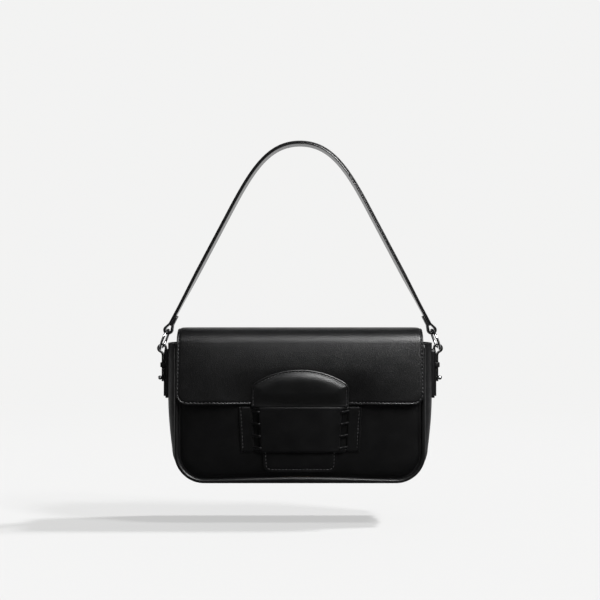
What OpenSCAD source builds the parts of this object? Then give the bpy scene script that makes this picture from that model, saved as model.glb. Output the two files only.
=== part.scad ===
// Leather shoulder bag: a slim box of stiffened leather with a flap, a padded
// tongue that slips behind a laced keeper band, and one strap on two rings.
// Millimetres. X runs along the width, -Y is the front, +Z is up.
// The origin is the middle of the flat base. Left and right are mirror images.

/* [Body] */
// Width over the two side pipings
body_w = 252; // [220:1:300]
// Depth from the front panel's face to the back panel's face
body_d = 62; // [52:1:80]
// Height of the back panel
back_h = 147; // [135:1:165]
// How far the front panel's edge lies below the back panel's
front_drop = 3; // [1:0.5:8]
// How far the gusset's ends lie below the back panel's edge
gusset_drop = 7; // [6:0.5:14]
// Radius of the lower corners, over the piping
corner_r = 30; // [22:1:40]
// Thickness of a stiffened panel
panel_t = 2.6; // [1.6:0.1:4]
// Thickness of the gusset leather
gusset_t = 2; // [1.2:0.1:3]
// How far the gusset's sides swell out past the panels' edges
side_crown = 14; // [8:0.5:18]
// How far the gusset's underside swells before the base is flattened
base_crown = 5.1; // [4.8:0.1:6]
// Height at which the sides reach their full swell
crown_full_h = 85; // [60:1:110]
// Radius of the piping cord
piping_r = 2.2; // [1.4:0.1:2.6]
// How far the piping stands in front of the panel's face
piping_proud = 0.6; // [0.5:0.05:1]

/* [Inside] */
// Thickness of the stiffening board in the base
board_t = 2; // [1:0.1:3]
// Thickness of the textile lining
lining_t = 0.8; // [0.5:0.1:1.5]
// Width of the slip pocket
pocket_w = 150; // [90:1:180]
// Height of the slip pocket
pocket_h = 88; // [50:1:95]
// How far the slip pocket's mouth lies below the gusset's ends
pocket_drop = 18; // [10:1:24]
// Room in the slip pocket
pocket_room = 1.4; // [0.8:0.1:3]

/* [Flap] */
// How far the flap's sides stay inside the piping's outer edge
flap_side = 2; // [2:0.5:8]
// Clear height between the back panel and the flap
flap_head = 6.9; // [6.6:0.1:12]
// Length of the flap's front, from its top to its lower edge
flap_len = 79; // [65:1:90]
// Thickness of the flap's outer leather
flap_t = 1.7; // [1:0.1:2.4]
// Thickness of the flap's inner leather
flap_lining_t = 0.9; // [0.5:0.1:1.4]
// Radius of the roll at the flap's front
front_roll_r = 13; // [10:0.5:13.5]
// Radius of the roll at the flap's back
back_roll_r = 9; // [6:0.5:12]
// Radius of the flap's two front corners
flap_corner_r = 12; // [5:0.5:20]
// Radius of the flap's two upper corners
flap_top_r = 4; // [1:0.5:8]
// How far the flap's inner leather stops short of the outer one's edges
flap_lining_in = 1.5; // [0.5:0.5:4]
// How far the flap's fold line lies below the back panel's edge
fold_drop = 4; // [3.5:0.5:6]
// Height of the flap's part that is sewn to the back
anchor_h = 24.8; // [16:0.2:40]
// Room between the flap and the front piping
flap_gap = 0.4; // [0.3:0.1:1]

/* [Tongue] */
// Width of the padded tongue
tongue_w = 97; // [80:1:110]
// Height of the tongue's arch above the flap's edge
tongue_h = 36.8; // [24:0.2:48]
// Radius of the tongue's arch
tongue_arch_r = 84.5; // [60:0.5:120]
// Thickness of the tongue over its padding
tongue_pad = 5; // [3:0.1:8]
// Thickness of the tongue at its edge
tongue_edge = 1.8; // [1:0.1:2.5]
// Width of the bevel around the padding
tongue_bevel = 9; // [4:0.5:12]
// Width of the tail where it enters the keeper
tail_top_w = 77; // [60:1:82]
// Width of the tail at its end
tail_end_w = 73; // [50:1:78]
// Length of the tail below the flap's edge
tail_len = 65.7; // [50:0.1:68]
// Radius of the tail's two end corners
tail_corner_r = 8; // [3:0.5:12]
// Thickness of the tail
tail_t = 2.4; // [1.5:0.1:3]

/* [Keeper] */
// Width of the keeper band at its upper edge
keeper_w = 124; // [112:1:140]
// Width of the keeper band at its lower edge
keeper_low_w = 119; // [110:1:140]
// How far the keeper band's upper edge lies below the flap's edge
keeper_drop = 0.5; // [0.5:0.5:6]
// Height of the keeper band
keeper_h = 45.5; // [30:0.5:48]
// Thickness of the keeper leather
keeper_t = 2; // [1.2:0.1:3]
// Width of each sloping side between the bridge and a flat wing
ramp_w = 7.5; // [7:0.5:9]
// How far the bridge bows out in the middle
bridge_bow = 1.2; // [0:0.1:3]
// Width of each laced slot
slot_w = 6.5; // [3:0.5:6.5]
// Leather left above and below each slot
slot_margin = 3; // [2:0.5:6]
// Lean of the slots
slot_lean = 3; // [0:0.5:3.5]
// Laces across each slot
lace_count = 4; // [2:1:4]
// Height from one lace to the next
lace_pitch = 12; // [6:0.5:12]
// Radius of a lace
lace_r = 0.9; // [0.5:0.1:1.2]

/* [Rings] */
// Radius of a ring, to the middle of its wire
ring_r = 10.5; // [9.5:0.1:12]
// Radius of a ring's wire
wire_r = 1.2; // [1:0.05:1.4]
// Lean of a ring's top towards the bag
ring_tilt = 22; // [15:1:22]
// Turn of a ring about its long way
ring_yaw = 5; // [0:1:5]
// How far a ring's middle lies above the gusset's ends
ring_up = 3.3; // [2:0.1:8]

/* [Side tabs] */
// Width of the tab
tab_w = 10; // [8:0.5:10]
// Thickness of the tab leather
tab_t = 1.6; // [1:0.1:2]
// How far the tab's sewn end lies above the patch's lower edge
tab_foot = 2; // [1:0.5:6]
// How far the end that buttons on the stud lies above the patch's lower edge
tab_end_up = 17; // [12:0.5:20]
// Inner radius of the tab's loop
tab_loop_r = 3.2; // [3.2:0.1:4]
// Width of the patch under the tab
patch_w = 16; // [13:0.5:20]
// Thickness of the patch under the tab
patch_t = 1; // [0.6:0.1:1.6]
// How far the patch reaches below the gusset's ends
patch_len = 56.5; // [50:0.5:70]
// How far the small keeper round the tab lies above the stud
tab_keeper_up = 13.3; // [9:0.1:14]
// Width of the small keeper's leather
tab_keeper_h = 5; // [3:0.5:6]
// Thickness of the small keeper's leather
tab_keeper_t = 1.3; // [0.8:0.1:1.6]
// How far the ball stud sits above the tab's buttoned end
stud_up = 3.5; // [3.5:0.1:6]
// Radius of the stud's ball
ball_r = 2.3; // [1.6:0.1:3]
// Radius of the stud's neck
neck_r = 1.1; // [0.7:0.1:1.4]

/* [Strap] */
// Width of the strap
strap_w = 13; // [10:0.5:14]
// Thickness of the strap's outer leather
strap_t = 1.7; // [1:0.1:2]
// Thickness of the strap's inner leather
strap_lining_t = 1.5; // [1:0.1:2]
// Height of the strap's top above the rings' middle
strap_rise = 202.2; // [180:0.2:300]
// Where the straight legs begin, from the middle
shoulder_x = 71; // [60:0.5:80]
// How far below the strap's top the straight legs begin
shoulder_drop = 70.3; // [60:0.1:90]
// Inner radius of the loop round the ring
strap_loop_r = 3.5; // [3.5:0.1:4]
// Length from the loop to the tip of the folded end
fold_len = 17; // [15:0.5:30]

/* [Hidden] */

leather = "#1c1b1d";
soft_leather = "#252427";
cloth = "#2b2a2a";
board = "#8d7a5c";
chrome = "#c9ccd0";

// Clearances and overruns
seam_gap = 0.2;
seat_gap = 0.05;
fold_gap = 0.2;
edge_gap = 0.2;
lining_gap = 0.3;
keeper_gap = 0.4;
over = 1;

// Smoothness of the curves
arc_fn = 64;
small_fn = 36;
crown_steps = 12;
side_steps = 6;
corner_steps = 8;
base_steps = 4;
roll_steps = 8;
arch_steps = 16;
bow_steps = 8;
loop_steps = 24;
crown_power = 2.5;

// Body, worked out
gusset_h = back_h - gusset_drop;
front_h = back_h - front_drop;
seam_in = 2 * piping_r + seam_gap;
panel_hw = body_w / 2 - seam_in;
panel_r = corner_r - seam_in;
panel_y = body_d / 2;
wall_y = panel_y - panel_t;
side_x = panel_hw + side_crown;
piping_y = panel_y - piping_r + piping_proud;

// Flap, worked out
flap_w = body_w - 2 * flap_side;
flap_top_z = back_h + flap_head + flap_lining_t + flap_t;
flap_edge_z = flap_top_z - flap_len;
hinge_z = back_h - fold_drop;
anchor_z = hinge_z - fold_gap - anchor_h;
tongue_top_z = flap_edge_z + tongue_h;
tail_end_z = flap_edge_z - tail_len;
flap_in_y = panel_y + piping_proud + flap_gap;
flap_front_y = -(flap_in_y + flap_lining_t + flap_t);
flap_back_y = panel_y + lining_gap + flap_lining_t + flap_t;
tail_front_y = flap_in_y + tail_t;

// Keeper, worked out
bridge_side = 1.5;
bridge_hw = tail_top_w / 2 + bridge_side;
wing_x = bridge_hw + ramp_w;
keeper_z1 = flap_edge_z - keeper_drop;
keeper_z0 = keeper_z1 - keeper_h;
bridge_in_y = tail_front_y + keeper_gap;
bridge_out_y = bridge_in_y + keeper_t;
wing_out_y = panel_y + keeper_t;

// Side tab and ring, worked out
patch_z = gusset_h - patch_len;
tab_z = patch_z + tab_foot;
tab_end_z = patch_z + tab_end_up;
stud_z = tab_end_z + stud_up;
tab_keeper_z = stud_z + tab_keeper_up;
ring_z = gusset_h + ring_up;
patch_x = side_x + seat_gap;
tab_x0 = patch_x + patch_t + seat_gap;
tab_x1 = tab_x0 + tab_t;
ply_gap = 0.6;
tab_x2 = tab_x1 + ply_gap;
tab_x3 = tab_x2 + tab_t;
tab_loop_x = tab_x1 + tab_loop_r;
wire_slack_x = 1.5;
wire_slack_z = 0.7;
ring_x = tab_loop_x + wire_slack_x - ring_r * sin(ring_tilt);
tab_loop_z = ring_z - ring_r * cos(ring_tilt) + wire_slack_z;
neck_rise = 1.5;
tab_neck_z = tab_keeper_z + tab_keeper_h / 2 + neck_rise;
stud_flange_r = 3;
stud_flange_t = 0.5;
ball_reach = 2;

// Strap, worked out. The eye is the middle of the loop round the ring.
strap_top_z = ring_z + strap_rise;
eye_in = 0.5;
eye_drop = 1;
eye_x = ring_x - ring_r * sin(ring_tilt) + eye_in;
eye_z = ring_z + ring_r * cos(ring_tilt) - eye_drop;
apex_z = strap_top_z - strap_t;
shoulder = [shoulder_x, strap_top_z - shoulder_drop];
aim_a = atan2(eye_x - shoulder[0], shoulder[1] - eye_z);
foot = [eye_x + strap_lining_t / 2 * cos(aim_a), eye_z + strap_lining_t / 2 * sin(aim_a)];
leg_a = atan2(foot[0] - shoulder[0], shoulder[1] - foot[1]);
leg_up = [-sin(leg_a), cos(leg_a)];
leg_out = [cos(leg_a), sin(leg_a)];
neck_len = 13;
void_len = 9.5;
lining_len = 9.8;
// Shares of the half width and of the shoulder's drop that shape the arch
arch_flat_share = 0.45;
arch_lift_share = 0.68;
arch_p1 = [shoulder_x * arch_flat_share, apex_z];
arch_p2 = shoulder + leg_up * (shoulder_drop * arch_lift_share);

// A wall parallel to the front, from y0 to y1, of the outline that is given in X and Z
module wall_xz(y0, y1) {
    translate([0, y1, 0])
        rotate([90, 0, 0])
            linear_extrude(y1 - y0)
                children();
}

// A slab's outline with round lower and upper corners
module slab_2d(half_w, z0, z1, low_r, top_r) {
    translate([-half_w, z0 + low_r])
        square([2 * half_w, z1 - z0 - low_r - top_r]);
    for (side = [-1, 1]) {
        translate([side * (half_w - low_r), z0 + low_r])
            circle(low_r, $fn = arc_fn);
        translate([side * (half_w - top_r), z1 - top_r])
            circle(top_r, $fn = arc_fn);
    }
    translate([-(half_w - low_r), z0])
        square([2 * (half_w - low_r), low_r]);
    translate([-(half_w - top_r), z1 - top_r])
        square([2 * (half_w - top_r), top_r]);
}

panel_top_r = 5;

module front_panel() {
    color(leather)
        wall_xz(-panel_y, -wall_y)
            slab_2d(panel_hw, seam_in, front_h, panel_r, panel_top_r);
}

module back_panel() {
    color(leather)
        wall_xz(wall_y, panel_y)
            slab_2d(panel_hw, seam_in, back_h, panel_r, panel_top_r);
}

// Places along the gusset, as [x, z, outward x, outward z], from the right top
// round the base to the left top
function side_place(side, share) =
    [side * panel_hw, gusset_h + (corner_r - gusset_h) * share, side, 0];
function corner_place(side, a) =
    [side * (panel_hw - panel_r + panel_r * cos(a)), corner_r - panel_r * sin(a),
        side * cos(a), -sin(a)];
function base_place(share) =
    [(panel_hw - panel_r) * (1 - 2 * share), seam_in, 0, -1];
places = concat(
    [for (i = [0:side_steps - 1]) side_place(1, i / side_steps)],
    [for (i = [0:corner_steps - 1]) corner_place(1, 90 * i / corner_steps)],
    [for (i = [0:base_steps]) base_place(i / base_steps)],
    [for (i = [corner_steps - 1:-1:0]) corner_place(-1, 90 * i / corner_steps)],
    [for (i = [side_steps - 1:-1:0]) side_place(-1, i / side_steps)]
);

// The gusset's swell at a height, and its share across the depth
function swell(z) =
    base_crown + (side_crown - base_crown) * sin(90 * min(1, (z - seam_in) / crown_full_h));
function across(i) = -wall_y * cos(180 * i / crown_steps);
function crown_share(i) = 1 - pow(abs(cos(180 * i / crown_steps)), crown_power);
function gusset_point(place, i, inset) =
    let (out = swell(place[1]) * crown_share(i) - inset)
    [place[0] + out * place[2], across(i), place[1] + out * place[3]];
function gusset_ring(place) = concat(
    [for (i = [0:crown_steps]) gusset_point(place, i, 0)],
    [for (i = [crown_steps:-1:0]) gusset_point(place, i, gusset_t)]
);

module gusset() {
    ring_n = 2 * (crown_steps + 1);
    last = (len(places) - 1) * ring_n;
    color(leather)
        difference() {
            polyhedron(
                points = [for (place = places) each gusset_ring(place)],
                faces = concat(
                    [for (s = [0:len(places) - 2], i = [0:ring_n - 1])
                        let (a = s * ring_n + i, b = s * ring_n + (i + 1) % ring_n)
                        [a, b, b + ring_n, a + ring_n]],
                    [for (i = [0:crown_steps - 1]) [i + 1, i, ring_n - 1 - i, ring_n - 2 - i]],
                    [for (i = [0:crown_steps - 1])
                        [last + i, last + i + 1, last + ring_n - 2 - i, last + ring_n - 1 - i]]
                ),
                convexity = 4
            );
            translate([-body_w / 2, -body_d / 2, -corner_r])
                cube([body_w, body_d, corner_r]);
        }
}

// A round cord sewn round the edge of a panel
module piping() {
    bend_r = corner_r - piping_r;
    for (side = [-1, 1]) {
        translate([side * (body_w / 2 - piping_r), 0, corner_r])
            cylinder(gusset_h - corner_r, r = piping_r, $fn = small_fn);
        translate([side * (body_w / 2 - corner_r), 0, corner_r])
            rotate([90, side > 0 ? 90 : 180, 0])
                rotate_extrude(angle = 90, $fn = arc_fn)
                    translate([bend_r, 0])
                        circle(piping_r, $fn = small_fn);
    }
    translate([-(body_w / 2 - corner_r), 0, piping_r])
        rotate([0, 90, 0])
            cylinder(body_w - 2 * corner_r, r = piping_r, $fn = small_fn);
}

module front_piping() {
    color(leather)
        translate([0, -piping_y, 0])
            piping();
}

module back_piping() {
    color(leather)
        translate([0, piping_y, 0])
            piping();
}

board_z = seam_in + gusset_t + seat_gap;

module base_board() {
    board_w = 2 * (panel_hw - panel_r);
    board_d = 2 * (wall_y - lining_gap);
    color(board)
        translate([-board_w / 2, -board_d / 2, board_z])
            cube([board_w, board_d, board_t]);
}

lining_hw = panel_hw - gusset_t - lining_gap;
lining_z = board_z + board_t + seat_gap;
lining_r = panel_r - gusset_t - lining_gap - board_t;

// The lining's outline, open at the top
module lining_2d(inset) {
    intersection() {
        slab_2d(lining_hw - inset, lining_z + inset, gusset_h + corner_r,
            lining_r - inset, panel_top_r);
        translate([-panel_hw, 0])
            square([2 * panel_hw, gusset_h + (inset > 0 ? over : 0)]);
    }
}

module lining() {
    color(cloth)
        difference() {
            wall_xz(-wall_y, wall_y)
                lining_2d(0);
            wall_xz(-(wall_y - lining_t), wall_y - lining_t)
                lining_2d(lining_t);
        }
}

pocket_r = 6;

module slip_pocket() {
    pocket_y = wall_y - lining_t;
    pocket_top_z = gusset_h - pocket_drop;
    pocket_z = pocket_top_z - pocket_h;
    color(cloth)
        difference() {
            wall_xz(pocket_y - pocket_room - lining_t, pocket_y)
                slab_2d(pocket_w / 2, pocket_z, pocket_top_z, pocket_r, lining_t);
            wall_xz(pocket_y - pocket_room, pocket_y + over)
                slab_2d(pocket_w / 2 - pocket_r, pocket_z + pocket_r, pocket_top_z + over,
                    pocket_r, lining_t);
        }
}

// The flap's bent line seen from the side, as [y, z], at a depth inside its outer face
function hood(inset) = concat(
    [[flap_back_y - inset, hinge_z]],
    [for (i = [0:roll_steps])
        let (a = 90 * i / roll_steps, r = back_roll_r - inset)
        [flap_back_y - back_roll_r + r * cos(a), flap_top_z - back_roll_r + r * sin(a)]],
    [for (i = [0:roll_steps])
        let (a = 90 + 90 * i / roll_steps, r = front_roll_r - inset)
        [flap_front_y + front_roll_r + r * cos(a), flap_top_z - front_roll_r + r * sin(a)]],
    [[flap_front_y + inset, flap_edge_z]]
);
function backwards(list) = [for (i = [len(list) - 1:-1:0]) list[i]];

// One layer of the flap between two depths, cut to its outline
module flap_layer(inset0, inset1, edge) {
    intersection() {
        rotate([90, 0, 90])
            linear_extrude(flap_w, center = true)
                polygon(concat(hood(inset0), backwards(hood(inset1))));
        wall_xz(-body_d, body_d)
            slab_2d(flap_w / 2 - edge, flap_edge_z + edge, flap_top_z, flap_corner_r, flap_top_r);
    }
}

module flap() {
    color(leather)
        flap_layer(0, flap_t, 0);
}

module flap_lining() {
    color(soft_leather)
        flap_layer(flap_t, flap_t + flap_lining_t, flap_lining_in);
}

module flap_anchor() {
    anchor_hw = panel_hw - seam_gap;
    color(leather)
        wall_xz(panel_y + seat_gap, flap_back_y)
            slab_2d(anchor_hw, anchor_z, hinge_z - fold_gap, flap_corner_r, seam_gap);
}

// The tongue's arched outline, drawn in by an inset
module arch_2d(inset) {
    intersection() {
        translate([0, tongue_top_z - tongue_arch_r])
            circle(tongue_arch_r - inset, $fn = 4 * arc_fn);
        translate([-(tongue_w / 2 - inset), flap_edge_z])
            square([tongue_w - 2 * inset, tongue_top_z - flap_edge_z]);
    }
}

module tongue() {
    mid_share = 0.45;
    rise = tongue_pad - tongue_edge;
    color(soft_leather)
        hull() {
            wall_xz(flap_front_y - tongue_edge, flap_front_y)
                arch_2d(0);
            wall_xz(flap_front_y - tongue_edge - rise * (1 - mid_share * mid_share), flap_front_y)
                arch_2d(tongue_bevel * mid_share);
            wall_xz(flap_front_y - tongue_pad, flap_front_y)
                arch_2d(tongue_bevel);
        }
}

// The tail's outline, slightly narrower at its end
module tail_2d() {
    top_z = flap_edge_z - edge_gap;
    end_x = tail_end_w / 2 - tail_corner_r;
    polygon([[-tail_top_w / 2, top_z], [-tail_end_w / 2, tail_end_z + tail_corner_r],
        [-end_x, tail_end_z], [end_x, tail_end_z],
        [tail_end_w / 2, tail_end_z + tail_corner_r], [tail_top_w / 2, top_z]]);
    for (side = [-1, 1])
        translate([side * end_x, tail_end_z + tail_corner_r])
            circle(tail_corner_r, $fn = arc_fn);
}

module tongue_tail() {
    color(leather)
        wall_xz(-tail_front_y, -flap_in_y)
            tail_2d();
}

// The keeper seen from above: flat wings and a bowed bridge
function bow(share) = bridge_bow * (1 - share * share);
function keeper_line(bridge_y, wing_y) = concat(
    [[-keeper_w / 2, -wing_y], [-wing_x, -wing_y]],
    [for (i = [-bow_steps:bow_steps])
        [bridge_hw * i / bow_steps, -bridge_y - bow(i / bow_steps)]],
    [[wing_x, -wing_y], [keeper_w / 2, -wing_y]]
);
slot_x = (bridge_hw + wing_x) / 2;
keeper_mid_z = (keeper_z0 + keeper_z1) / 2;
slot_h = keeper_z1 - keeper_z0 - 2 * slot_margin;

module keeper_band() {
    color(leather)
        difference() {
            intersection() {
                translate([0, 0, keeper_z0])
                    linear_extrude(keeper_z1 - keeper_z0)
                        polygon(concat(keeper_line(bridge_out_y, wing_out_y),
                            backwards(keeper_line(bridge_in_y, panel_y))));
                wall_xz(-body_d, -panel_y)
                    polygon([[-keeper_w / 2, keeper_z1], [-keeper_low_w / 2, keeper_z0],
                        [keeper_low_w / 2, keeper_z0], [keeper_w / 2, keeper_z1]]);
            }
            keeper_slots(slot_w);
        }
}

// A leaning slot on each side of the bridge
module keeper_slots(width) {
    for (side = [-1, 1])
        translate([side * slot_x, 0, keeper_mid_z])
            rotate([0, side * slot_lean, 0])
                translate([-width / 2, -body_d, -slot_h / 2])
                    cube([width, body_d, slot_h]);
}

lace_proud = 0.4;

// The laces lie along the bridge's sloping sides and fill the slots' width
module keeper_lacing() {
    ramp_in_y = bridge_in_y + keeper_t / 2;
    ramp_out_y = panel_y + keeper_t / 2;
    ramp_a = atan2(ramp_in_y - ramp_out_y, wing_x - bridge_hw);
    reach = norm([wing_x - bridge_hw, ramp_in_y - ramp_out_y]);
    lace_y = (ramp_in_y + ramp_out_y) / 2 + lace_proud;
    color(soft_leather)
        intersection() {
            keeper_slots(slot_w - 2 * seat_gap);
            for (side = [0, 1], i = [0:lace_count - 1])
                mirror([side, 0, 0])
                    translate([slot_x, -lace_y, keeper_mid_z + lace_pitch * (i - (lace_count - 1) / 2)])
                        rotate([0, 90, ramp_a])
                            cylinder(2 * reach, r = lace_r, center = true, $fn = small_fn);
        }
}

// Where a line from a point meets a circle, side 1 or -1 round from the point
function touch(centre, r, point, side) =
    let (way = point - centre, a = atan2(way[1], way[0]) + side * acos(r / norm(way)))
    centre + r * [cos(a), sin(a)];

// A loop round the origin of the outline, with two strands that close on two points
module loop_2d(centre, r, point_a, point_b) {
    translate(centre)
        circle(r, $fn = arc_fn);
    polygon([touch(centre, r, point_a, -1), point_a, point_b, touch(centre, r, point_b, 1), centre]);
}

function bezier(t) =
    pow(1 - t, 3) * [0, apex_z] + 3 * pow(1 - t, 2) * t * arch_p1
    + 3 * (1 - t) * t * t * arch_p2 + pow(t, 3) * shoulder;
function bezier_way(t) =
    pow(1 - t, 2) * (arch_p1 - [0, apex_z]) + 2 * (1 - t) * t * (arch_p2 - arch_p1)
    + t * t * (shoulder - arch_p2);
function out_of(way) = [-way[1], way[0]] / norm(way);

// Half the strap's line from its top to a place on the leg, moved out by an offset
function strap_line(offset, end_len) = concat(
    [for (i = [0:arch_steps])
        let (t = i / arch_steps)
        bezier(t) + offset * out_of(bezier_way(t))],
    [foot + end_len * leg_up + offset * leg_out]
);
function mirrored(list) = [for (p = list) [-p[0], p[1]]];
function whole_line(offset, end_len) =
    let (half = strap_line(offset, end_len))
    concat(backwards(mirrored([for (i = [1:len(half) - 1]) half[i]])), half);
module strap_band(offset0, offset1, end_len) {
    polygon(concat(whole_line(offset0, end_len), backwards(whole_line(offset1, end_len))));
}

// Points round a centre from one angle to another
function arc_points(centre, r, a0, a1) =
    [for (i = [0:loop_steps]) let (a = a0 + (a1 - a0) * i / loop_steps) centre + r * [cos(a), sin(a)]];
function touch_a(centre, r, point, side) =
    let (way = point - centre) atan2(way[1], way[0]) + side * acos(r / norm(way));

// The strap's end in the leg's own frame: round the ring outside, up to the tip of
// the folded end, and back round the ring inside
eye = [-strap_lining_t / 2, 0];
fold_x = -strap_lining_t - strap_t;
end_outline = concat(
    arc_points(eye, strap_loop_r + strap_t,
        touch_a(eye, strap_loop_r + strap_t, [strap_t, neck_len], -1),
        touch_a(eye, strap_loop_r + strap_t, [fold_x, neck_len], 1) - 360),
    [[fold_x, neck_len], [fold_x, fold_len], [fold_x + strap_t, fold_len], [fold_x + strap_t, void_len]],
    arc_points(eye, strap_loop_r,
        touch_a(eye, strap_loop_r, [fold_x + strap_t, void_len], 1) - 360,
        touch_a(eye, strap_loop_r, [0, void_len], -1))
);
half_outline = concat(
    strap_line(strap_t, neck_len),
    [for (p = end_outline) foot + p[0] * leg_out + p[1] * leg_up],
    backwards(strap_line(0, void_len))
);

module strap() {
    inner = [for (i = [1:len(half_outline) - 2]) half_outline[i]];
    color(leather)
        wall_xz(-strap_w / 2, strap_w / 2)
            polygon(concat([half_outline[0]], inner, [half_outline[len(half_outline) - 1]],
                backwards(mirrored(inner))));
}

module strap_lining() {
    color(soft_leather)
        wall_xz(-strap_w / 2, strap_w / 2)
            strap_band(0, -strap_lining_t, lining_len);
}

module ring() {
    color(chrome)
        translate([ring_x, 0, ring_z])
            rotate([0, 90 - ring_tilt, 0])
                rotate([-ring_yaw, 0, 0])
                    rotate_extrude($fn = arc_fn)
                        translate([ring_r, 0])
                            circle(wire_r, $fn = small_fn);
}

module ring_left() {
    mirror([1, 0, 0])
        ring();
}

module ring_right() {
    ring();
}

module tab_patch() {
    color(leather)
        translate([patch_x, -patch_w / 2, patch_z])
            cube([patch_t, patch_w, tab_loop_z - patch_z]);
}

module tab_patch_left() {
    mirror([1, 0, 0])
        tab_patch();
}

module tab_patch_right() {
    tab_patch();
}

stud_fit = 0.2;

// The side tab: up from its sewn end, round the ring, and down to the stud
module side_tab() {
    eye = [tab_loop_x, tab_loop_z];
    color(leather)
        difference() {
            wall_xz(-tab_w / 2, tab_w / 2)
                difference() {
                    union() {
                        loop_2d(eye, tab_loop_r + tab_t, [tab_x0, tab_neck_z], [tab_x3, tab_neck_z]);
                        translate([tab_x0, tab_z])
                            square([tab_t, tab_loop_z - tab_z]);
                        translate([tab_x2, tab_end_z])
                            square([tab_t, tab_neck_z - tab_end_z]);
                    }
                    loop_2d(eye, tab_loop_r, [tab_x1, tab_neck_z + tab_t], [tab_x2, tab_neck_z + tab_t]);
                    translate([tab_x1, tab_end_z - over])
                        square([ply_gap, tab_neck_z + tab_t - tab_end_z + over]);
                }
            translate([tab_x0 - over, 0, stud_z])
                rotate([0, 90, 0])
                    cylinder(tab_x3 - tab_x0 + 2 * over, r = neck_r + stud_fit, $fn = small_fn);
        }
}

module side_tab_left() {
    mirror([1, 0, 0])
        side_tab();
}

module side_tab_right() {
    side_tab();
}

// The small keeper: a band over both layers of the tab, sewn to the patch
module tab_keeper() {
    inner_hw = tab_w / 2 + edge_gap;
    color(leather)
        translate([tab_x0, 0, tab_keeper_z - tab_keeper_h / 2])
            difference() {
                translate([0, -inner_hw - tab_keeper_t, 0])
                    cube([tab_x3 - tab_x0 + edge_gap + tab_keeper_t,
                        2 * (inner_hw + tab_keeper_t), tab_keeper_h]);
                translate([-over, -inner_hw, -over])
                    cube([tab_x3 - tab_x0 + edge_gap + over, 2 * inner_hw, tab_keeper_h + 2 * over]);
            }
}

module tab_keeper_left() {
    mirror([1, 0, 0])
        tab_keeper();
}

module tab_keeper_right() {
    tab_keeper();
}

// The ball stud: a shank through the inner layer, a flange, a neck and a ball
module stud() {
    ball_x = tab_x3 + ball_reach;
    color(chrome)
        translate([0, 0, stud_z])
            rotate([0, 90, 0]) {
                translate([0, 0, tab_x0])
                    cylinder(ball_x - tab_x0, r = neck_r, $fn = small_fn);
                translate([0, 0, tab_x1 + seat_gap])
                    cylinder(stud_flange_t, r = stud_flange_r, $fn = small_fn);
                translate([0, 0, ball_x])
                    sphere(ball_r, $fn = small_fn);
            }
}

module stud_left() {
    mirror([1, 0, 0])
        stud();
}

module stud_right() {
    stud();
}

front_panel();
back_panel();
gusset();
front_piping();
back_piping();
base_board();
lining();
slip_pocket();
flap_anchor();
flap();
flap_lining();
tongue();
tongue_tail();
keeper_band();
keeper_lacing();
strap();
strap_lining();
ring_left();
ring_right();
tab_patch_left();
tab_patch_right();
side_tab_left();
side_tab_right();
tab_keeper_left();
tab_keeper_right();
stud_left();
stud_right();
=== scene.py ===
from math import pi, radians

import bmesh
import bpy
import numpy as np
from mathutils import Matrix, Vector


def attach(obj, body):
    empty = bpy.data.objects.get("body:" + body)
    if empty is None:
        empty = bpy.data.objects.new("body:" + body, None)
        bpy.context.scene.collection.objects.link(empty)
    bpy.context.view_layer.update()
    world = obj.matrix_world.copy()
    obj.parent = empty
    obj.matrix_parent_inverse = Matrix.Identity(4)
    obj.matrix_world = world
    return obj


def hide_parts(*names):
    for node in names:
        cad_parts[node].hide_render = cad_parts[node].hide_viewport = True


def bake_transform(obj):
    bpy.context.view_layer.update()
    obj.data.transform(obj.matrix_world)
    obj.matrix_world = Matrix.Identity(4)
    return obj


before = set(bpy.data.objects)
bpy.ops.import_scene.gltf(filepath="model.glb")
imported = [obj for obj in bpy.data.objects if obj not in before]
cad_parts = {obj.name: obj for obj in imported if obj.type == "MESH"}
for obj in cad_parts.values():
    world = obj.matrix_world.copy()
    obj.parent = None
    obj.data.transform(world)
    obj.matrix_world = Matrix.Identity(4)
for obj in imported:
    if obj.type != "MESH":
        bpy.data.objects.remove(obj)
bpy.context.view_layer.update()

# ---- Camera ----
# Level, straight in front of the bag and a little above its middle.
camera = bpy.data.objects.new("camera", bpy.data.cameras.new("camera"))
camera.location = (0.0, -1.231, 0.1835)
camera.rotation_euler = (radians(90), 0, 0)
camera.data.sensor_width = 36
camera.data.lens = 72
bpy.context.scene.collection.objects.link(camera)
bpy.context.scene.camera = camera
bpy.context.scene.view_settings.view_transform = "Standard"

# ---- Body panels ----
# The front and back panels are smooth calf leather over a stiffener, cut with round lower
# corners. Their edges dip into the seam beside the piping.
PANEL_HALF_W, PANEL_LOW, PANEL_R = 0.1214, 0.0046, 0.0254
PANEL_Y, PANEL_T, PANEL_TOP_R = 0.031, 0.0026, 0.005
FRONT_H, BACK_H = 0.144, 0.147
BASE_LIFT, BASE_HALF_W = 0.0024, 0.098


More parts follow.
